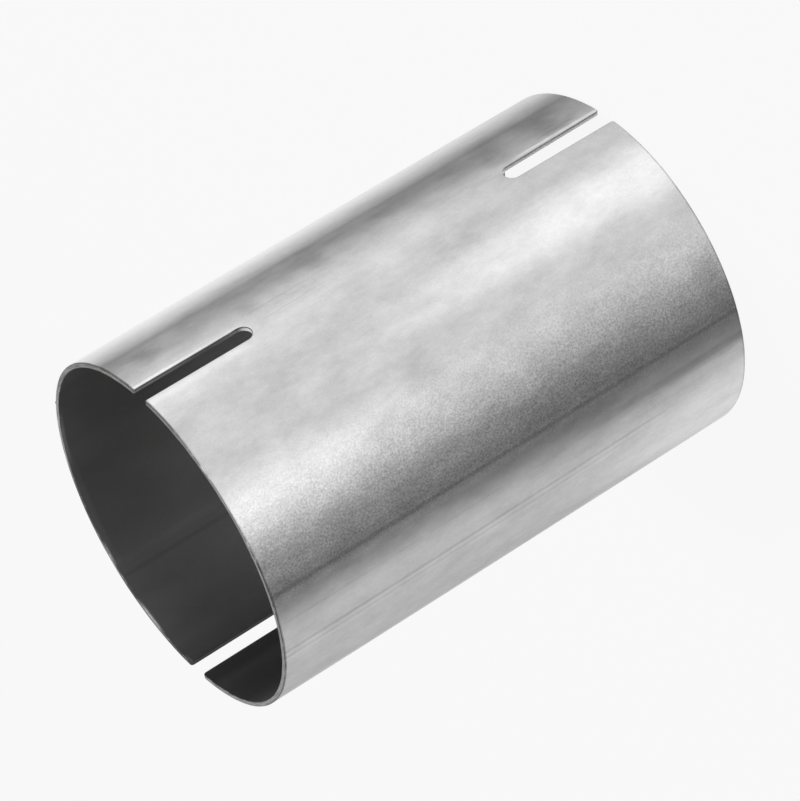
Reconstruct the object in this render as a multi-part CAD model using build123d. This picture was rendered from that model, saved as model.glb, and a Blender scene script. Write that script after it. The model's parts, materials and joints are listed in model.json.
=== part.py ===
# Slotted splice sleeve: a rolled and seam-welded steel tube that slips over the butted ends of two
# pipes. Each end is split by two saw cuts, so that a band clamp round it can close it on its pipe.
# The sleeve stands on one end, with +Z along its axis and its origin at the middle of that end.
# Lengths are in millimetres and angles in degrees.

import math
import os

from build123d import *

# Tube
bore_diameter = 128.0
wall = 1.75
sleeve_length = 197.0

# Slots that let an end close on its pipe: straight sides that run into a full round
slots_per_end = 2
slot_width = 7.0
slot_depth = 45.0
first_slot_angle = 0.0

# Lengthwise weld of the rolled sheet: ground flush outside, rolled down to a low bead on the bore
seam_angle = -73.8
seam_bead_width = 4.0
seam_bead_height = 0.15

# Bevel where the burr was taken off the rims and the slots
edge_break = 0.2

# How far a slot cutter stands out of the wall that it cuts
cutter_overrun = 5.0

bore_radius = bore_diameter / 2
outer_radius = bore_radius + wall


def rolled_tube():
    """The rolled sheet cut square to length, with its two edges meeting at the seam."""
    ring = Circle(outer_radius) - Circle(bore_radius)
    return Rot(0, 0, seam_angle) * extrude(ring, sleeve_length)


def seam_bead():
    """Low crown of weld along the bore, between the bevels of the two rims and let into the wall."""
    half_angle = math.degrees(math.asin(seam_bead_width / 2 / bore_radius))
    left_toe = Vector(bore_radius, 0).rotate(Axis.Z, -half_angle)
    right_toe = Vector(bore_radius, 0).rotate(Axis.Z, half_angle)
    crown = Vector(bore_radius - seam_bead_height, 0)
    root = Vector(bore_radius + wall / 2, 0)
    outline = [ThreePointArc(left_toe, crown, right_toe), Line(right_toe, root), Line(root, left_toe)]
    bead = extrude(make_face(outline), sleeve_length - 2 * edge_break)
    return Pos(0, 0, edge_break) * Rot(0, 0, seam_angle) * bead


def slot_cutter(angle, rim_height):
    """A cutter centred on the rim, so that half its length goes into the tube, through one side."""
    side_plane = Plane(origin=(0, 0, rim_height), x_dir=(0, 0, 1), z_dir=(1, 0, 0))
    outline = side_plane * SlotOverall(2 * slot_depth, slot_width)
    return Rot(0, 0, angle) * extrude(outline, outer_radius + cutter_overrun)


def end_slots():
    """Slots spaced evenly round each end, and in line from one end to the other."""
    angles = [first_slot_angle + 360 * index / slots_per_end for index in range(slots_per_end)]
    return [slot_cutter(angle, rim_height) for angle in angles for rim_height in (0, sleeve_length)]


def break_edges(tube):
    """Bevel every edge that a rim or a slot makes with the tube's skin, inside and outside."""
    skin = tube.faces().filter_by(GeomType.CYLINDER)
    skin = skin.filter_by(lambda face: face.axis_of_rotation.is_parallel(Axis.Z))
    cut_faces = tube.faces() - skin
    return chamfer(skin.edges() & cut_faces.edges(), edge_break)


def splice_sleeve():
    slots = end_slots()
    tube = break_edges(rolled_tube() - slots)
    return tube + (seam_bead() - slots)


if __name__ == "__main__":
    os.makedirs("parts", exist_ok=True)
    export_step(splice_sleeve(), "parts/splice_sleeve.step")
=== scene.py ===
# Slotted splice sleeve of bright rolled sheet, standing on one end in a soft light tent.
# Lengths are in metres and angles in degrees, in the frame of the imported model: +Z runs along the
# sleeve's axis, and the origin is at the middle of the end that it stands on.

import json
import math
from collections import namedtuple

import bmesh
import bpy
from mathutils import Matrix, Vector, noise


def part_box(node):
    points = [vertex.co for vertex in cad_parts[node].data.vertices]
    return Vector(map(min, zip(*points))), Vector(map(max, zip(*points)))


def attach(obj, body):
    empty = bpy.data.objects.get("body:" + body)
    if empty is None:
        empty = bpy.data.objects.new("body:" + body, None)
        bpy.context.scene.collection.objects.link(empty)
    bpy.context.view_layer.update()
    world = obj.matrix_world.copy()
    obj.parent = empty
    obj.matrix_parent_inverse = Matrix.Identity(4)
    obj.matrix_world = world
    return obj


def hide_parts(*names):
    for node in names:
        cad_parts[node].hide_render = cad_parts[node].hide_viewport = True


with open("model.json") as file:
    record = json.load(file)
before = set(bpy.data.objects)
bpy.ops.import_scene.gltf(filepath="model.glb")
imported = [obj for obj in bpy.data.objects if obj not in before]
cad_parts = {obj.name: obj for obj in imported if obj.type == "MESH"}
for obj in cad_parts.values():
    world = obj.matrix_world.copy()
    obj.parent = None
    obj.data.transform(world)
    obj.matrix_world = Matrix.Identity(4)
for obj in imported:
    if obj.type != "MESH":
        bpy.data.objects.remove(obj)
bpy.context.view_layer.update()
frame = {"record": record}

MM = 0.001

# Sizes that the frame gives
mounts = {mount["name"]: mount for mount in frame["record"]["mounts"]}
bore_radius = mounts["pipe_bore"]["dims"]["r_mm"] * MM
outer_radius = mounts["clamp_band_seat"]["dims"]["r_mm"] * MM
sleeve_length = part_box("splice_sleeve")[1][2]
wall = outer_radius - bore_radius
sleeve_middle = Vector((0, 0, sleeve_length / 2))

# Slots of each end: straight sides that run into a full round
slot_angles = (0.0, 180.0)
slot_half_width = 3.5 * MM
slot_depth = 45.0 * MM

# The slots weren't sawn alike. For each slot of the lower and the upper end: how far it is out of
# line across the sheet, how much narrower it is on each side, how far one side flares at the rim, and
# how round its corners with the rim were dressed.
SlotCut = namedtuple("SlotCut", "drift narrower flare corner")
slot_cuts = {
    0: (SlotCut(0.39 * MM, 0.16 * MM, 0.6 * MM, 0.7 * MM), SlotCut(-0.76 * MM, 0.18 * MM, 0.0, 0.3 * MM)),
    2: (SlotCut(0.0, 0.0, 0.0, 0.7 * MM), SlotCut(1.55 * MM, 0.0, 0.0, 0.9 * MM)),
}

# Edges where the burr was taken off, the narrow strip that keeps the skin flat beside them, and how
# unevenly they were dressed
edge_break = 0.2 * MM
edge_strip = 0.12 * MM
skin_inset = edge_break + edge_strip
edge_wobble = 0.05 * MM

# A small burr left standing on the outside of the upper rim
burr_angle = 72.7
burr_width = 1.8 * MM
burr_height = 0.55 * MM
burr_reach = 1.2 * MM

# The skin is drawn in a little along the slots, from the saw's pull
slot_draw_depth = 0.11 * MM
slot_draw_width = 3.4 * MM

# A bearing at which an end is out of true, how far that reaches to each side, and how much it is
Bulge = namedtuple("Bulge", "angle half_width depth")

# The upper end went slightly oval when its slots let it go
end_flats = (Bulge(90.0, 62.0, 1.85 * MM), Bulge(262.0, 58.0, 0.45 * MM))
flat_reach = 75 * MM

# The lower end was sawn a little out of square
end_short = Bulge(60.0, 95.0, 1.7 * MM)
short_reach = 14 * MM

# Weld of the rolled sheet: ground to a shallow valley outside, a low bead on the bore
seam_angle = -73.8
seam_valley_width = 1.7 * MM
seam_valley_depth = 0.03 * MM
seam_bead_width = 4.0 * MM
seam_bead_height = 0.14 * MM

# Line that the rolls left along the outside
roll_line_angle = -93.9
roll_line_width = 1.0 * MM
roll_line_depth = 0.008 * MM

# Flat strip on each side of a slot's middle in which the sheet's grid follows the slot
slot_panel_half = 9.0 * MM
slot_panel_columns = 12
root_zone_rows = 6
ring_steps = 8
ring_ease = 1.7

# Columns between those strips: their usual step, the finer one at the weld, the roll line and the
# burr, and how near to one of these it starts, all in degrees
plain_step = 1.25
fine_step = 0.22
fine_reach = 2.6

# Rows: how far the ones at a rim stand from the skin's edge, where the even ones beside a slot start,
# and how many steps there are beside a slot and between the slots of the two ends
rim_rows = (0.0, 0.25 * MM, 0.6 * MM, 1.1 * MM, 1.8 * MM)
slot_rows_start = 2.9 * MM
slot_rows = 21
middle_rows = 52

# Heights closer than this are the same
height_slack = 1e-9


# Flat pattern of the sheet

# A point of the flat sheet: the panel it is in, its place across that panel, its height, and the way
# out of the sheet where it is on an edge. Panels 0 and 2 hold the slots, and there the place is a
# distance from the slot's middle. Panels 1 and 3 lie between them, and there it is a share.
SheetPoint = namedtuple("SheetPoint", "panel across height out")


def spread(start, end, steps, ease=1.0):
    """Places from start to end, closer together near start where ease is over 1."""
    return [start + (end - start) * (index / steps) ** ease for index in range(steps + 1)]


def plain_columns(panel):
    """Shares across a plain panel, closer together at the weld, the roll line and the burr."""
    strip_edge = math.degrees(math.asin(slot_panel_half / outer_radius))
    start = slot_angles[panel // 2] + strip_edge
    span = 180 - 2 * strip_edge
    fine_angles = [angle % 360 for angle in (seam_angle, roll_line_angle, burr_angle)]
    shares = [0.0]
    while shares[-1] < 1.0:
        angle = start + span * shares[-1]
        nearest = min(abs(angle + 0.5 - fine) for fine in fine_angles)
        step = fine_step if nearest < fine_reach else plain_step
        shares.append(shares[-1] + step / span)
    if 1.0 - shares[-2] < 0.4 * (shares[-1] - shares[-2]):
        shares.pop()
    shares[-1] = 1.0
    return shares


def sheet_rows():
    """Heights of the sheet's rows, with rows at the ends of the slots' straight and round parts."""
    root_height = slot_depth - slot_half_width
    patch_top = root_height + slot_panel_half
    lower = [skin_inset + step for step in rim_rows]
    lower += spread(slot_rows_start, root_height, slot_rows)
    lower += spread(root_height, patch_top, root_zone_rows)[1:]
    upper = [sleeve_length - height for height in reversed(lower)]
    middle = spread(patch_top, sleeve_length - patch_top, middle_rows)[1:-1]
    return lower + middle + upper


sheet_rows_all = sheet_rows()


def grid(points):
    """Quads of a block of sheet points, given row by row."""
    quads = []
    for low, high in zip(points, points[1:]):
        for left in range(len(low) - 1):
            quads.append((low[left], low[left + 1], high[left + 1], high[left]))
    return quads


def rows_of_points(panel, columns, rows):
    """A block of sheet points, with the way out given where a row is at a rim."""
    block = []
    for height in rows:
        out_height = -1 if height == sheet_rows_all[0] else 1 if height == sheet_rows_all[-1] else 0
        out = (0, out_height) if out_height else None
        block.append([SheetPoint(panel, across, height, out) for across in columns])
    return block


def rim_edges(block):
    """The edges of a block that lie on a rim."""
    edges = []
    for row in block:
        if row[0].out or row[-1].out:
            edges += list(zip(row, row[1:]))
    return edges


def dressed_corner(beside, inward, corner):
    """Bends the square corner at a slot's mouth into a quarter round.

    Takes and gives distances from the slot's side and from the rim, and gives the way to the corner.
    """
    left = 1 - beside / corner
    low = 1 - inward / corner
    if left <= 0 or low <= 0:
        return beside, inward, None
    way = (left * math.sqrt(1 - low * low / 2), low * math.sqrt(1 - left * left / 2))
    return corner * (1 - way[0]), corner * (1 - way[1]), way


def slot_end(panel, upper):
    """Quads and edges round one slot: a block beside each straight side and a fan round the root."""
    root_height = slot_depth - slot_half_width
    cut = slot_cuts[panel][1 if upper else 0]
    inner = slot_half_width - cut.narrower + skin_inset
    ring_shares = spread(0, 1, ring_steps, ring_ease)
    quads = []
    edges = []

    def at_end(across, height, out):
        if upper:
            height = sleeve_length - height
            out = (out[0], -out[1]) if out else None
        return SheetPoint(panel, across, height, out)

    heights = [height for height in sheet_rows_all if height < root_height + height_slack]
    for side in (-1, 1):
        block = []
        for height in heights:
            row = []
            flare = cut.flare * max(0.0, 1 - height / root_height) if side > 0 else 0.0
            edge = side * (cut.drift + flare) + inner
            for share in ring_shares:
                beside = (slot_panel_half - edge) * share
                beside, inward, way = dressed_corner(beside, height - heights[0], cut.corner)
                out = (-side * (share == 0), -1 * (height == heights[0]))
                if way and any(out):
                    out = (-side * way[0], -way[1])
                row.append(at_end(side * (edge + beside), heights[0] + inward, out if any(out) else None))
            block.append(row)
        quads += grid(block)
        edges += list(zip(block[0], block[0][1:]))
        edges += [(low[0], high[0]) for low, high in zip(block, block[1:])]

    corner = slot_panel_half
    outline = [(corner, step) for step in spread(0, corner, root_zone_rows)]
    outline += [(step, corner) for step in spread(corner, -corner, slot_panel_columns)[1:]]
    outline += [(-corner, step) for step in spread(corner, 0, root_zone_rows)[1:]]
    fan = []
    for index, (across, rise) in enumerate(outline):
        turn = math.pi * index / (len(outline) - 1)
        way = (math.cos(turn), math.sin(turn))
        ray = []
        for share in ring_shares:
            place = (cut.drift + way[0] * inner) * (1 - share) + across * share
            height = root_height + way[1] * inner * (1 - share) + rise * share
            out = None if share else (-way[0], -way[1])
            ray.append(at_end(place, height, out))
        fan.append(ray)
    quads += grid(fan)
    edges += [(first[0], second[0]) for first, second in zip(fan, fan[1:])]
    return quads, edges


def flat_sheet():
    """Quads of the whole flat sheet, and the edges of its outline."""
    quads = []
    edges = []
    patch_top = slot_depth - slot_half_width + slot_panel_half
    low, high = patch_top - height_slack, sleeve_length - patch_top + height_slack
    for panel in (1, 3):
        block = rows_of_points(panel, plain_columns(panel), sheet_rows_all)
        quads += grid(block)
        edges += rim_edges(block)
    between = [row for row in sheet_rows_all if low < row < high]
    columns = spread(-slot_panel_half, slot_panel_half, slot_panel_columns)
    for panel in (0, 2):
        quads += grid(rows_of_points(panel, columns, between))
        for upper in (False, True):
            more_quads, more_edges = slot_end(panel, upper)
            quads += more_quads
            edges += more_edges
    return quads, edges


# Rolled sheet

def sheet_angle(panel, across, radius):
    """Bearing of a place across a panel, on a skin of that radius."""
    panel_edge = math.degrees(math.asin(slot_panel_half / radius))
    if panel in (0, 2):
        return slot_angles[panel // 2] + math.degrees(math.asin(across / radius))
    start = slot_angles[panel // 2] + panel_edge
    return start + (180 - 2 * panel_edge) * across


def valley(angle, line_angle, width, radius):
    """1 on a lengthwise line, falling smoothly to 0 at half its width to each side."""
    off = math.radians((angle - line_angle + 180) % 360 - 180) * radius
    share = min(1.0, abs(off) / (width / 2))
    return 0.5 + 0.5 * math.cos(math.pi * share)


def swell(bulge, angle):
    """How much a bulge comes to at a bearing."""
    off = abs((angle - bulge.angle + 180) % 360 - 180)
    return bulge.depth * (0.5 + 0.5 * math.cos(math.pi * min(1.0, off / bulge.half_width)))


def draw_in(panel, across, height):
    """How far both skins lie inward beside a slot."""
    if panel in (1, 3):
        return 0.0
    upper = height > sleeve_length / 2
    from_rim = sleeve_length - height if upper else height
    cut = slot_cuts[panel][1 if upper else 0]
    beside = abs(across - cut.drift)
    beyond = max(0.0, from_rim - (slot_depth - slot_half_width))
    from_edge = max(0.0, math.hypot(beside, beyond) - slot_half_width + cut.narrower)
    reach = max(0.0, 1 - from_edge / slot_draw_width)
    return slot_draw_depth * reach * reach


def outside_relief(angle):
    """How far the outer skin lies below its radius."""
    weld = seam_valley_depth * valley(angle, seam_angle, seam_valley_width, outer_radius)
    roll = roll_line_depth * valley(angle, roll_line_angle, roll_line_width, outer_radius)
    return weld + roll


def inside_relief(angle, height):
    """How far the weld's bead stands out of the bore."""
    from_rim = min(height, sleeve_length - height)
    fade = min(1.0, max(0.0, (from_rim - edge_break) / (1.5 * MM)))
    return seam_bead_height * valley(angle, seam_angle, seam_bead_width, bore_radius) * fade


def rolled(point, step_out, depth):
    """The place of a sheet point once rolled, stepped out over its edge and down from the outer skin."""
    across, height = point.across, point.height
    if point.out:
        across += point.out[0] * step_out
        height += point.out[1] * step_out
    radius = outer_radius - depth
    angle = sheet_angle(point.panel, across, radius)
    share = depth / wall
    radius -= outside_relief(angle) * (1 - share)
    radius -= inside_relief(angle, height) * share
    radius -= draw_in(point.panel, across, height)
    burr = valley(angle, burr_angle, burr_width, outer_radius) * (1 - share)
    radius += burr_height * burr * max(0.0, 1 - (sleeve_length - height) / burr_reach)
    from_top = max(0.0, 1 - (sleeve_length - height) / flat_reach)
    radius -= sum(swell(flat, angle) for flat in end_flats) * from_top ** 2
    from_floor = max(0.0, 1 - height / short_reach)
    height += swell(end_short, angle) * from_floor ** 2
    turn = math.radians(angle)
    return Vector((radius * math.cos(turn), radius * math.sin(turn), height))


def edge_profile():
    """Steps from the outer skin to the inner over an edge: (step out, depth, on the cut face)."""
    steps = [(0.0, 0.0)]
    for turn in (0, 30, 60, 90):
        out = edge_strip + edge_break * math.sin(math.radians(turn))
        steps.append((out, edge_break * (1 - math.cos(math.radians(turn)))))
    for share in (0.3, 0.7):
        steps.append((edge_strip + edge_break, edge_break + (wall - 2 * edge_break) * share))
    for turn in (90, 60, 30, 0):
        out = edge_strip + edge_break * math.sin(math.radians(turn))
        steps.append((out, wall - edge_break * (1 - math.cos(math.radians(turn)))))
    steps.append((0.0, wall))
    return steps


def burr_wobble(place):
    """Small inward unevenness of a hand-dressed edge, from 0 to 1."""
    slow = noise.noise(place * 180)
    quick = noise.noise(place * 700 + Vector((3, 5, 7)))
    return min(1.0, max(0.0, 0.5 + 0.5 * slow + 0.35 * quick))


def sleeve_mesh():
    """The sheet with both its skins and its cut edges, rolled and closed at the weld."""
    outside, bore, cut, broken = 0, 1, 2, 3
    quads, edges = flat_sheet()
    shape = bmesh.new()
    made = {}

    def vertex(point, step_out, depth):
        key = (point, step_out, depth)
        if key not in made:
            place = rolled(point, step_out, depth)
            if step_out > edge_strip:
                back = burr_wobble(place) * edge_wobble * (step_out - edge_strip) / edge_break
                place = rolled(point, step_out - back, depth)
            made[key] = shape.verts.new(place)
        return made[key]

    def face(corners, material):
        made_face = shape.faces.new(corners)
        made_face.material_index = material
        made_face.smooth = True

    for quad in quads:
        face([vertex(point, 0.0, 0.0) for point in quad], outside)
        face([vertex(point, 0.0, wall) for point in reversed(quad)], bore)
    profile = edge_profile()
    finishes = [outside] + 3 * [broken] + 3 * [cut] + 3 * [broken] + [bore]
    for first, second in edges:
        for upper, lower, finish in zip(profile, profile[1:], finishes):
            ring = ((first, upper), (second, upper), (second, lower), (first, lower))
            face([vertex(point, *step) for point, step in ring], finish)
    bmesh.ops.remove_doubles(shape, verts=shape.verts, dist=0.001 * MM)
    bmesh.ops.recalc_face_normals(shape, faces=shape.faces)
    mesh = bpy.data.meshes.new("sleeve_sheet")
    shape.to_mesh(mesh)
    shape.free()
    return mesh


# Shader expressions

class Wire:
    """A node's output, with the operators that add Math nodes to its material."""

    def __init__(self, shader, socket):
        self.shader = shader
        self.socket = socket

    def math(self, operation, first, second=0.0):
        return self.shader.node("ShaderNodeMath", {"operation": operation}, {0: first, 1: second})

    def __add__(self, other):
        return self.math("ADD", self, other)

    def __sub__(self, other):
        return self.math("SUBTRACT", self, other)

    def __rsub__(self, other):
        return self.math("SUBTRACT", other, self)

    def __mul__(self, other):
        return self.math("MULTIPLY", self, other)

    def __truediv__(self, other):
        return self.math("DIVIDE", self, other)

    def __abs__(self):
        return self.math("ABSOLUTE", self)

    def above(self, limit):
        return self.math("GREATER_THAN", self, limit)

    __radd__ = __add__
    __rmul__ = __mul__


class Shader:
    """Node tree of a material or of the world, emptied and ready to be filled."""

    def __init__(self, owner):
        owner.use_nodes = True
        self.tree = owner.node_tree
        self.tree.nodes.clear()

    def node(self, kind, settings=None, inputs=None, output=0):
        """Adds a node: its settings are set first, then the values or links of its sockets."""
        node = self.tree.nodes.new(kind)
        for name, value in (settings or {}).items():
            setattr(node, name, value)
        for name, value in (inputs or {}).items():
            if isinstance(value, Wire):
                self.tree.links.new(value.socket, node.inputs[name])
            else:
                node.inputs[name].default_value = value
        return Wire(self, node.outputs[output])

    def place(self):
        """Where the shaded point is, in metres from the object's origin."""
        return self.node("ShaderNodeTexCoord", output="Object")

    def parts(self, vector):
        """The three numbers of a vector."""
        split = self.node("ShaderNodeSeparateXYZ", inputs={0: vector})
        return [Wire(self, socket) for socket in split.socket.node.outputs]

    def round_parts(self, vector):
        """Distance from the axis, bearing in degrees, and height."""
        x, y, height = self.parts(vector)
        return x.math("SQRT", x * x + y * y), x.math("ARCTAN2", y, x) * (180 / math.pi), height

    def dot(self, vector, other):
        """Dot product of two vectors."""
        settings = {"operation": "DOT_PRODUCT"}
        return self.node("ShaderNodeVectorMath", settings, {0: vector, 1: other}, output=1)

    def stretched(self, vector, across, along, shift=(0.0, 0.0, 0.0)):
        """A place measured in grains that are so wide across the sleeve and so long along it."""
        scale = (1 / across, 1 / across, 1 / along)
        inputs = {0: vector, 1: scale, 2: shift}
        return self.node("ShaderNodeVectorMath", {"operation": "MULTIPLY_ADD"}, inputs)

    def grain(self, vector, detail=2.0, roughness=0.5):
        """Cloudy noise from 0 to 1, with grains of size 1."""
        inputs = {"Vector": vector, "Scale": 1.0, "Detail": detail, "Roughness": roughness}
        return self.node("ShaderNodeTexNoise", inputs=inputs)

    def fall(self, value, near, far):
        """1 where value is below near, falling smoothly to 0 at far."""
        settings = {"interpolation_type": "SMOOTHSTEP"}
        inputs = {"Value": value, "From Min": near, "From Max": far, "To Min": 1.0, "To Max": 0.0}
        return self.node("ShaderNodeMapRange", settings, inputs)

    def grey(self, value):
        """A colour of three equal parts."""
        return self.node("ShaderNodeCombineColor", inputs={0: value, 1: value, 2: value})

    def bumped(self, height):
        """The way out of a surface whose relief is given in millimetres."""
        return self.node("ShaderNodeBump", inputs={"Strength": 1.0, "Distance": MM, "Height": height})

    def finish(self, surface, kind="ShaderNodeOutputMaterial"):
        """Ends the tree with this surface."""
        output = self.tree.nodes.new(kind)
        self.tree.links.new(surface.socket, output.inputs["Surface"])

    def metal(self, level, metallic, roughness, relief):
        """Ends the tree with a grey metal."""
        inputs = {
            "Base Color": self.grey(level),
            "Metallic": metallic,
            "Roughness": roughness,
            "Normal": self.bumped(relief),
        }
        self.finish(self.node("ShaderNodeBsdfPrincipled", inputs=inputs))


# Tone of the sheet

# A lengthwise line: bearing at half height, width and how dark it is, where under 0 is light. It may
# lean sideways, by so much for each metre of height, and may run only between two heights and end
# softly. A plain one is straight and runs past both ends of the sleeve.
line_parts = "angle width darkness lean low high fade"
SheetLine = namedtuple("SheetLine", line_parts, defaults=(0.0, -9.0, 9.0, 1.0))

# A soft patch: bearing, height, half its size round the sleeve and along it, how dark it is
SheetPatch = namedtuple("SheetPatch", "angle height round along darkness")

# The weld, and the skin on both sides of it that its grinding burnished
weld_line = SheetLine(-73.85, 2.5 * MM, 0.24, lean=-0.002)
weld_sides = (
    SheetLine(-71.0, 4.5 * MM, 0.07, lean=-0.002),
    SheetLine(-76.0, 3.6 * MM, -0.14, low=60 * MM, fade=90 * MM),
    SheetLine(-69.5, 12.0 * MM, -0.10, low=80 * MM, fade=70 * MM),
    SheetLine(-62.0, 16.0 * MM, 0.12, low=90 * MM, fade=60 * MM),
)

# Lines that the rolls left
roll_lines = (
    SheetLine(-94.25, 1.9 * MM, 0.16, lean=0.0115, low=25 * MM, fade=25 * MM),
    SheetLine(-95.4, 1.3 * MM, -0.07, lean=0.0115, low=30 * MM, fade=30 * MM),
    SheetLine(-96.7, 1.3 * MM, 0.07, lean=0.0115, low=45 * MM, fade=30 * MM),
    SheetLine(-97.8, 1.6 * MM, -0.07, lean=0.0115, low=30 * MM, fade=30 * MM),
    SheetLine(-83.8, 1.2 * MM, 0.08, lean=0.004, low=90 * MM, fade=30 * MM),
    SheetLine(-83.0, 5.2 * MM, 0.24, lean=0.004, high=105 * MM, fade=100 * MM),
    SheetLine(-87.3, 5.0 * MM, -0.10, lean=0.004, high=110 * MM, fade=80 * MM),
    SheetLine(19.8, 4.6 * MM, 0.14),
)

# Painted highlights on the skin along the sides of the slots, and a stretch of painted shade beside the lower
# slot at 0 degrees
slot_side_highlights_and_shade = (
    SheetLine(2.8, 2.2 * MM, -0.34, low=163 * MM, fade=24 * MM),
    SheetLine(2.8, 1.4 * MM, -0.12, low=151 * MM, high=178 * MM, fade=8 * MM),
    SheetLine(-5.3, 5.0 * MM, -0.12, low=150 * MM, fade=10 * MM),
    SheetLine(4.35, 1.7 * MM, -0.46, lean=0.004, high=41 * MM, fade=12 * MM),
    SheetLine(6.8, 2.6 * MM, 0.12, low=6 * MM, high=28 * MM, fade=5 * MM),
)

# Stretch of the upper rim where the darker line beside it is faint
faint_rim_line = SheetLine(-39.0, 56.0 * MM, 0.85, low=180 * MM, fade=1 * MM)

# Hairline scratches
scratches = (
    SheetLine(5.2, 0.8 * MM, 0.12, low=122 * MM, high=152 * MM, fade=8 * MM),
    SheetLine(0.9, 0.8 * MM, 0.10, lean=0.02, low=118 * MM, high=150 * MM, fade=8 * MM),
)

# Darker patches, and lighter ones that are painted highlights, without an edge
dark_patches_and_painted_highlights = (
    SheetPatch(9.0, 17 * MM, 8 * MM, 9 * MM, 0.34),
    SheetPatch(17.0, 3 * MM, 9 * MM, 11 * MM, -0.36),
    SheetPatch(15.5, 31 * MM, 8 * MM, 9 * MM, -0.30),
    SheetPatch(7.0, 41 * MM, 6 * MM, 10 * MM, 0.14),
    SheetPatch(13.5, 185 * MM, 8 * MM, 9 * MM, 0.26),
    SheetPatch(15.8, 173 * MM, 6 * MM, 7 * MM, -0.18),
    SheetPatch(7.5, 146 * MM, 7 * MM, 7 * MM, 0.18),
    SheetPatch(12.0, 118 * MM, 8 * MM, 9 * MM, 0.20),
    SheetPatch(0.5, 82 * MM, 13 * MM, 15 * MM, -0.09),
    SheetPatch(-4.5, 99 * MM, 11 * MM, 12 * MM, -0.12),
    SheetPatch(-11.5, 71 * MM, 8 * MM, 20 * MM, 0.14),
    SheetPatch(-37.0, 118 * MM, 10 * MM, 20 * MM, 0.13),
    SheetPatch(-47.0, 136 * MM, 6 * MM, 20 * MM, 0.11),
    SheetPatch(-23.0, 184 * MM, 10 * MM, 14 * MM, -0.12),
    SheetPatch(-60.0, 7 * MM, 8 * MM, 9 * MM, 0.20),
    SheetPatch(-31.0, 9 * MM, 10 * MM, 13 * MM, -0.12),
)

# Stretches of the slot sides and of the upper rim that are lighter or darker; the lighter ones on the lower
# slot's side and round the upper slot's root are painted light
cut_tones_and_painted_light = (
    SheetLine(3.6, 8.0 * MM, -1.40, high=46 * MM, fade=2 * MM),
    SheetLine(0.0, 14.0 * MM, -1.60, low=150.5 * MM, high=155.3 * MM, fade=2 * MM),
    SheetLine(2.6, 5.0 * MM, 0.45, low=154 * MM, high=182 * MM, fade=18 * MM),
    SheetLine(178.6, 5.0 * MM, 0.62, low=150 * MM, fade=1 * MM),
    SheetLine(85.0, 60.0 * MM, -0.35, low=150 * MM, fade=1 * MM),
    SheetLine(116.0, 44.0 * MM, 0.70, low=150 * MM, fade=1 * MM),
    SheetLine(146.0, 22.0 * MM, 0.75, low=150 * MM, fade=1 * MM),
    SheetLine(171.0, 28.0 * MM, 0.80, low=150 * MM, fade=1 * MM),
    SheetLine(157.0, 14.0 * MM, 0.60, low=150 * MM, fade=1 * MM),
)

# Outer rounds that are darker
dark_lips = (
    SheetLine(4.0, 5.5 * MM, 0.80),
    SheetLine(0.5, 16.0 * MM, 0.90, low=150.5 * MM, high=158 * MM, fade=2 * MM),
    SheetLine(148.0, 62.0 * MM, 0.90, low=190 * MM, fade=1 * MM),
)

# Rounds that are darker, and rounds with painted glints and painted light
edge_tones_and_painted_glints = (
    SheetLine(3.6, 8.0 * MM, -0.75, high=46 * MM, fade=2 * MM),
    SheetLine(178.0, 6.0 * MM, 0.80, low=150 * MM, fade=1 * MM),
    SheetLine(133.0, 12.0 * MM, -2.50, low=190 * MM, fade=1 * MM),
    SheetLine(157.0, 18.0 * MM, -6.50, low=190 * MM, fade=1 * MM),
    SheetLine(-39.0, 56.0 * MM, -2.20, low=190 * MM, fade=1 * MM),
)

# Roll lines and broad tones of the bore, and painted glints and highlights just below the upper rim
bore_lines_and_painted_glints = (
    SheetLine(85.0, 112.0 * MM, -0.30),
    SheetLine(137.0, 4.4 * MM, -0.07),
    SheetLine(141.5, 2.6 * MM, 0.12),
    SheetLine(175.0, 14.0 * MM, 0.12),
    SheetLine(187.5, 14.0 * MM, 0.34),
    SheetLine(206.0, 60.0 * MM, 0.24),
    SheetLine(88.0, 34.0 * MM, -0.90, low=195.2 * MM, fade=1.0 * MM),
    SheetLine(118.0, 60.0 * MM, -0.25, low=193.5 * MM, fade=2 * MM),
    SheetLine(133.0, 12.0 * MM, -1.80, low=196.0 * MM, fade=0.5 * MM),
    SheetLine(157.0, 18.0 * MM, -3.20, low=196.0 * MM, fade=0.5 * MM),
    SheetLine(177.0, 7.0 * MM, -0.70, low=195.4 * MM, fade=0.8 * MM),
)

# Coarser strip of skin beside the weld, with painted sparkle (stronger speckle in its colour, standing in for
# glints): the bearings at which it starts and is full on the one side, and at which it is full and ends on
# the other
strip_start, strip_full, strip_still_full, strip_end = -34.0, -66.0, -71.0, -80.0

# The darker line beside the rims: how far from the end it is full, and where it ends
dark_rim_line_full = 0.45 * MM
dark_rim_line_end = 0.85 * MM


def line_mask(shader, place, line):
    """1 on a lengthwise line of the sheet, falling to 0 over its width and past its two ends."""
    turn = math.radians(line.angle)
    beside = (-math.sin(turn), math.cos(turn), line.lean)
    toward = (math.cos(turn), math.sin(turn), 0.0)
    height = shader.parts(place)[2]
    off = shader.dot(place, beside) - line.lean * sleeve_length / 2
    across = shader.fall(abs(off), 0.1 * line.width, line.width / 2)
    in_front = shader.dot(place, toward).above(0.0)
    low_end = 1 - shader.fall(height, line.low, line.low + line.fade)
    high_end = shader.fall(height, line.high - line.fade, line.high)
    return across * in_front * low_end * high_end


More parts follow.
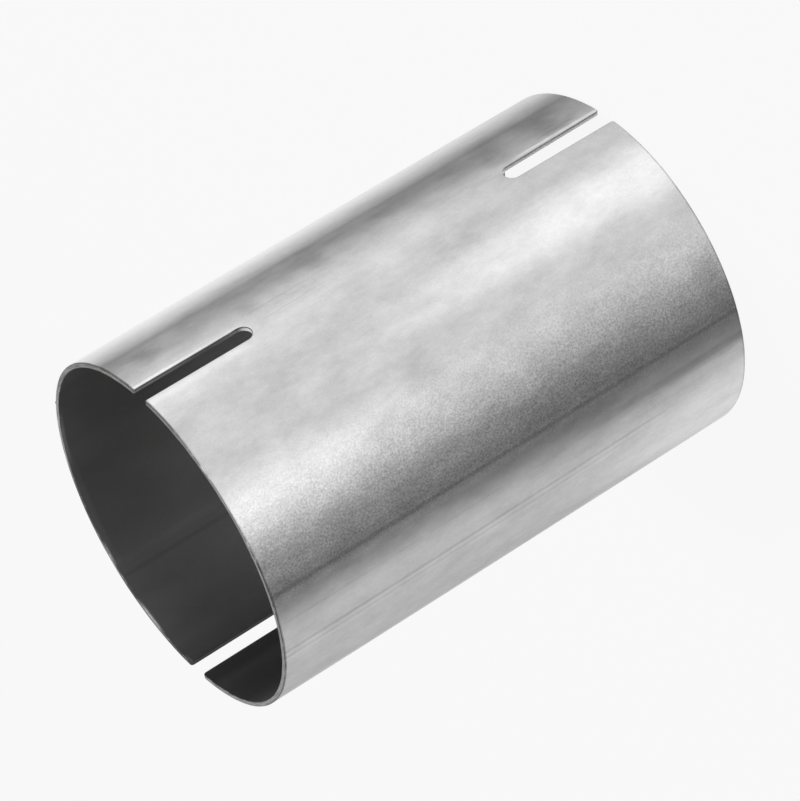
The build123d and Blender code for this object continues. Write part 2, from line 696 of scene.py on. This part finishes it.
def patch_mask(shader, place, patch, uneven):
    """1 in the middle of a patch, falling to 0 at its uneven outline."""
    turn = math.radians(patch.angle)
    middle = (outer_radius * math.cos(turn), outer_radius * math.sin(turn), patch.height)
    off = shader.node("ShaderNodeVectorMath", {"operation": "SUBTRACT"}, {0: place, 1: middle})
    off = shader.stretched(off, patch.round, patch.along)
    distance = shader.node("ShaderNodeVectorMath", {"operation": "LENGTH"}, {0: off}, output=1)
    return shader.fall(distance + 1.1 * (uneven - 0.5), 0.0, 1.0)


def from_nearest_end(height):
    """How far a height is from the nearest end of the sleeve."""
    return sleeve_length / 2 - abs(height - sleeve_length / 2)


def bright_sheet():
    """Outside: bright cold-rolled sheet, faintly clouded, coarser and with painted sparkle in a strip along
    the weld.
    """
    material = bpy.data.materials.new("bright_rolled_sheet")
    shader = Shader(material)
    place = shader.place()
    _, bearing, height = shader.round_parts(place)
    clouds = shader.grain(shader.stretched(place, 8 * MM, 15 * MM), 3.0, 0.6)
    streaks = shader.grain(shader.stretched(place, 1.4 * MM, 30 * MM, (9.0, 4.0, 2.0)), 2.0)
    speckle = shader.grain(shader.stretched(place, 0.66 * MM, 0.7 * MM), 1.0)
    mottle = shader.grain(shader.stretched(place, 2.2 * MM, 3.2 * MM, (6.0, 3.0, 8.0)), 2.0)
    waves = shader.grain(shader.stretched(place, 13 * MM, 20 * MM, (2.0, 7.0, 5.0)), 1.0)
    burr = shader.grain(shader.stretched(place, 4.5 * MM, 4.5 * MM, (4.0, 9.0, 1.0)), 2.0)
    coarse_and_painted_sparkle_strip = 1 - shader.fall(0 - bearing, -strip_start, -strip_full)
    coarse_and_painted_sparkle_strip = coarse_and_painted_sparkle_strip * shader.fall(0 - bearing, -strip_still_full, -strip_end)
    level = 0.70 + 0.30 * (clouds - 0.5) + 0.05 * (streaks - 0.5) + 0.11 * (mottle - 0.5)
    # Stronger speckle in the colour within the strip is painted sparkle, glints standing in for light; its
    # bump is the strip's coarser grain.
    level = level * (1 + (0.17 + 1.08 * coarse_and_painted_sparkle_strip) * (speckle - 0.5))
    level = level * (1 - weld_line.darkness * (0.4 + 1.2 * clouds) * line_mask(shader, place, weld_line))
    # The lines along the slot sides paint highlights and shade onto the skin.
    for line in weld_sides + roll_lines + slot_side_highlights_and_shade + scratches:
        level = level * (1 - line.darkness * line_mask(shader, place, line))
    # Darker line on the skin beside each rim, darker still at the upper one.
    dark_rim_line = shader.fall(from_nearest_end(height), dark_rim_line_full, dark_rim_line_end)
    dark_rim_line = dark_rim_line * (1 - faint_rim_line.darkness * line_mask(shader, place, faint_rim_line))
    upper = height.above(sleeve_length / 2)
    level = level * (1 - dark_rim_line * (0.25 + 0.30 * upper) * (1.9 - 1.8 * burr))
    # The lighter patches paint highlights onto the skin.
    for patch in dark_patches_and_painted_highlights:
        level = level * (1 - patch.darkness * patch_mask(shader, place, patch, clouds))
    roughness = 0.29 + 0.10 * (clouds - 0.5)
    relief = 0.20 * waves + (0.010 + 0.015 * coarse_and_painted_sparkle_strip) * speckle + 0.015 * streaks
    shader.metal(level, 1.0, roughness, relief)
    return material


def dull_bore_painted_shade():
    """Bore: the sheet's other side, left dull from rolling, with its colour darkened as painted shade, and
    darker near the ends.
    """
    material = bpy.data.materials.new("dull_bore_painted_shade")
    shader = Shader(material)
    place = shader.place()
    inward = from_nearest_end(shader.parts(place)[2])
    clouds = shader.grain(shader.stretched(place, 12 * MM, 30 * MM), 3.0, 0.5)
    speckle = shader.grain(shader.stretched(place, 1.2 * MM, 1.5 * MM, (1.0, 8.0, 3.0)), 1.0)
    # The bore's dark base colour is painted shade; it is lighter deep inside and darker near the ends.
    level = 0.235 + 0.22 * (1 - shader.fall(inward, 4 * MM, 85 * MM))
    level = level * (1 + 0.22 * (clouds - 0.5) + 0.08 * (speckle - 0.5))
    # Lines near the upper rim paint glints and highlights onto the bore.
    for line in bore_lines_and_painted_glints:
        level = level * (1 - line.darkness * line_mask(shader, place, line))
    shader.metal(level, 1.0, 0.50 + 0.1 * (clouds - 0.5), 0.08 * clouds + 0.02 * speckle)
    return material


def sawn_edge():
    """Rims and slot sides: sawn, then dressed by hand, so greyer and rougher than the skin."""
    material = bpy.data.materials.new("sawn_edge")
    shader = Shader(material)
    place = shader.place()
    radius, bearing, height = shader.round_parts(place)
    along = {0: radius / (0.40 * MM), 1: bearing / 5.0, 2: height / (7 * MM)}
    tears = shader.grain(shader.node("ShaderNodeCombineXYZ", inputs=along), 1.0)
    marks = shader.grain(shader.stretched(place, 0.6 * MM, 0.6 * MM), 2.0, 0.6)
    patches = shader.grain(shader.stretched(place, 4 * MM, 4 * MM, (5.0, 1.0, 8.0)), 2.0)
    slot = 1 - shader.fall(from_nearest_end(height), 0.3 * MM, 0.6 * MM)
    level = 0.30 + 0.16 * (patches - 0.5) + 0.14 * (marks - 0.5) + (0.60 - 0.35 * slot) * (tears - 0.5)
    level = level * (1 + slot * (1.1 * shader.fall(radius, bore_radius + 0.2 * wall, outer_radius) - 0.4))
    # Some of these stretches paint light onto the slot sides.
    for line in cut_tones_and_painted_light:
        level = level * (1 - line.darkness * line_mask(shader, place, line))
    shader.metal(level, 0.45, 0.58 + 0.2 * (patches - 0.5), 0.10 * marks)
    return material


def broken_edge():
    """Small rounds along the cut edges: lighter at the slots, dark round the rims with painted glints."""
    material = bpy.data.materials.new("broken_edge")
    shader = Shader(material)
    place = shader.place()
    radius, _, height = shader.round_parts(place)
    burr = shader.grain(shader.stretched(place, 3.5 * MM, 3.5 * MM, (4.0, 9.0, 1.0)), 2.0, 0.6)
    rim = shader.fall(from_nearest_end(height), 0.3 * MM, 0.6 * MM)
    outer_lip = 1 - shader.fall(radius, bore_radius + 0.4 * wall, bore_radius + 0.6 * wall)
    # Painted glints: bright spots of noise on the rims' rounds.
    painted_glints = 1 - shader.fall(burr, 0.50, 0.80)
    level = rim * (0.10 + 0.50 * painted_glints) + (1 - rim) * (0.55 + 0.4 * (burr - 0.5))
    # These lines paint glints and light onto the rounds.
    for line in edge_tones_and_painted_glints:
        level = level * (1 - line.darkness * line_mask(shader, place, line))
    for line in dark_lips:
        level = level * (1 - line.darkness * outer_lip * line_mask(shader, place, line))
    shader.metal(level, 0.8, 0.40, 0.06 * burr)
    return material


# Camera

camera_bearing = -42.1
camera_elevation = 22.479
camera_roll = -121.422
camera_distance = 1.40543
camera_aim = Vector((-0.00158, -0.00100, 0.09970))
camera_lens = 184.96


def camera_axes():
    """The camera's right, up and forward, from its bearing, elevation and roll."""
    bearing = math.radians(camera_bearing)
    elevation = math.radians(camera_elevation)
    roll = math.radians(camera_roll)
    level = Vector((math.cos(bearing), math.sin(bearing), 0)) * math.cos(elevation)
    forward = -(level + Vector((0, 0, math.sin(elevation))))
    flat_right = forward.cross(Vector((0, 0, 1))).normalized()
    flat_up = flat_right.cross(forward)
    right = math.cos(roll) * flat_right + math.sin(roll) * flat_up
    up = math.cos(roll) * flat_up - math.sin(roll) * flat_right
    return right, up, forward


def add_camera():
    right, up, forward = camera_axes()
    data = bpy.data.cameras.new("camera")
    data.sensor_fit = "HORIZONTAL"
    data.sensor_width = 36.0
    data.lens = camera_lens
    data.clip_start = 0.05
    data.clip_end = 50.0
    camera = bpy.data.objects.new("camera", data)
    place = camera_aim - forward * camera_distance
    turn = Matrix((right, up, -forward)).transposed()
    camera.matrix_world = Matrix.Translation(place) @ turn.to_4x4()
    bpy.context.scene.collection.objects.link(camera)
    bpy.context.scene.camera = camera


# Floor, light tent and lamps

floor_half = 8.0
tent_radius = 0.40
softbox_place = (0.30, 0.25, 2.20)
softbox_size = 0.7
softbox_power = 18.0

# How bright the floor is by itself, how much of its look that makes up, and how bright the world is
# where it is seen and where it lights the sleeve
white = 0.961
white_share = 0.95
world_seen = 0.938
world_light = 0.45

seen_directly = ("Is Camera Ray", "Is Glossy Ray", "Is Transmission Ray")


def seen_share(shader):
    """1 for the rays that show the background: straight, mirrored or through glass."""
    rays = shader.node("ShaderNodeLightPath").socket.node.outputs
    straight, mirrored, through = (Wire(shader, rays[name]) for name in seen_directly)
    either = straight.math("MAXIMUM", straight, mirrored)
    return either.math("MAXIMUM", either, through)


def add_mesh(name, shape, material):
    mesh = bpy.data.meshes.new(name)
    shape.to_mesh(mesh)
    shape.free()
    mesh.materials.append(material)
    piece = bpy.data.objects.new(name, mesh)
    bpy.context.scene.collection.objects.link(piece)
    return piece


def add_floor():
    """Plain white floor. Most of its white is its own, so that the sleeve's shadow on it stays soft."""
    material = bpy.data.materials.new("floor_white")
    shader = Shader(material)
    paper = shader.node("ShaderNodeBsdfDiffuse", inputs={"Color": (0.8, 0.8, 0.8, 1.0)})
    glow = shader.node("ShaderNodeEmission", inputs={"Color": (1.0, 1.0, 1.0, 1.0), "Strength": white})
    share = white_share * seen_share(shader)
    shader.finish(shader.node("ShaderNodeMixShader", inputs={0: share, 1: paper, 2: glow}))
    shape = bmesh.new()
    bmesh.ops.create_grid(shape, x_segments=1, y_segments=1, size=floor_half)
    floor = add_mesh("floor", shape, material)
    floor.visible_glossy = False


# The tent wall by itself: how bright it is, how much more on its bright side, and that side's bearing.
# Bearings of the tent are from the camera's own.
tent_level = 0.717
tent_swing = 0.11
bright_side = 21.6

# A dark cloth hangs from top to bottom, and one with a darkness under 0 is a bright strip. A soft
# light starts to fade at its inner radius, and one with a strength under 0 is a grey card.
Cloth = namedtuple("Cloth", "bearing half_width soft darkness")
SoftLight = namedtuple("SoftLight", "bearing elevation inner outer strength")
dark_cloths = (
    Cloth(-59.7, 20.5, 15.8, 0.80),
    Cloth(112.3, 13.3, 22.9, 0.98),
    Cloth(158.0, 16.0, 12.0, 0.26),
    Cloth(-150.0, 9.0, 9.0, 0.22),
    Cloth(-169.0, 11.0, 4.0, -1.10),
)
soft_lights = (
    SoftLight(-7.6, -0.8, 4.4, 20.4, 0.68),
    SoftLight(35.1, -32.2, 8.4, 16.3, 0.58),
    SoftLight(84.4, 4.5, 25.0, 36.0, 0.21),
    SoftLight(160.3, -11.7, 5.0, 56.2, 0.69),
    SoftLight(-124.4, -59.5, 26.0, 37.1, 0.30),
    SoftLight(-80.9, -10.6, 9.0, 14.0, 0.21),
    SoftLight(-30.4, -25.6, 9.0, 16.9, -0.24),
    SoftLight(67.0, 0.0, 3.0, 11.0, 0.35),
)


def tent_direction(bearing, elevation):
    turn = math.radians(camera_bearing + bearing)
    rise = math.radians(elevation)
    return (math.cos(turn) * math.cos(rise), math.sin(turn) * math.cos(rise), math.sin(rise))


def tent_glow():
    """Tent wall: how bright it is in each direction from the middle of the sleeve."""
    material = bpy.data.materials.new("tent_cloth")
    shader = Shader(material)
    place = shader.place()
    way = shader.node("ShaderNodeVectorMath", {"operation": "NORMALIZE"}, {0: place})
    x, y, _ = shader.parts(way)
    flat = shader.node("ShaderNodeCombineXYZ", inputs={0: x, 1: y, 2: 0.0})
    level_way = shader.node("ShaderNodeVectorMath", {"operation": "NORMALIZE"}, {0: flat})

    def turn_from(direction, vector):
        dot = shader.dot(vector, direction)
        dot = dot.math("MINIMUM", dot.math("MAXIMUM", dot, -1.0), 1.0)
        return dot.math("ARCCOSINE", dot) * (180 / math.pi)

    level = tent_level + tent_swing * shader.dot(level_way, tent_direction(bright_side, 0))
    for cloth in dark_cloths:
        off = turn_from(tent_direction(cloth.bearing, 0), level_way)
        covered = shader.fall(off, cloth.half_width - cloth.soft, cloth.half_width + cloth.soft)
        level = level * (1 - cloth.darkness * covered)
    for light in soft_lights:
        off = turn_from(tent_direction(light.bearing, light.elevation), way)
        level = level + light.strength * shader.fall(off, light.inner, light.outer)
    shader.finish(shader.node("ShaderNodeEmission", inputs={"Strength": level}))
    return material


def add_tent():
    """Light tent round the sleeve. Only the metal shows it."""
    shape = bmesh.new()
    bmesh.ops.create_icosphere(shape, subdivisions=6, radius=tent_radius)
    tent = add_mesh("light_tent", shape, tent_glow())
    tent.location = sleeve_middle
    for rays in ("camera", "diffuse", "transmission", "volume_scatter", "shadow"):
        setattr(tent, "visible_" + rays, False)
    tent.data.materials[0].cycles.emission_sampling = "NONE"


def add_lamp(name, place, size, power):
    data = bpy.data.lights.new(name, "AREA")
    data.shape = "DISK"
    data.size = size
    data.energy = power
    lamp = bpy.data.objects.new(name, data)
    lamp.location = place
    lamp.rotation_mode = "QUATERNION"
    lamp.rotation_quaternion = (sleeve_middle - Vector(place)).to_track_quat("-Z", "Y")
    lamp.visible_glossy = False
    lamp.visible_camera = False
    bpy.context.scene.collection.objects.link(lamp)


def add_world():
    """Pale surroundings, as bright as the floor where they are seen, and softer as a light."""
    world = bpy.data.worlds.new("surroundings")
    bpy.context.scene.world = world
    shader = Shader(world)
    strength = world_light + (world_seen - world_light) * seen_share(shader)
    shader.finish(shader.node("ShaderNodeBackground", inputs={"Strength": strength}), "ShaderNodeOutputWorld")


# Scene

sleeve = bpy.data.objects.new("rolled_sleeve", sleeve_mesh())
for finish in (bright_sheet(), dull_bore_painted_shade(), sawn_edge(), broken_edge()):
    sleeve.data.materials.append(finish)
bpy.context.scene.collection.objects.link(sleeve)
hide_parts("splice_sleeve")
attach(sleeve, "root")

add_camera()
add_floor()
add_tent()
add_lamp("overhead_softbox", softbox_place, softbox_size, softbox_power)
add_world()
bpy.context.scene.view_settings.view_transform = "Standard"
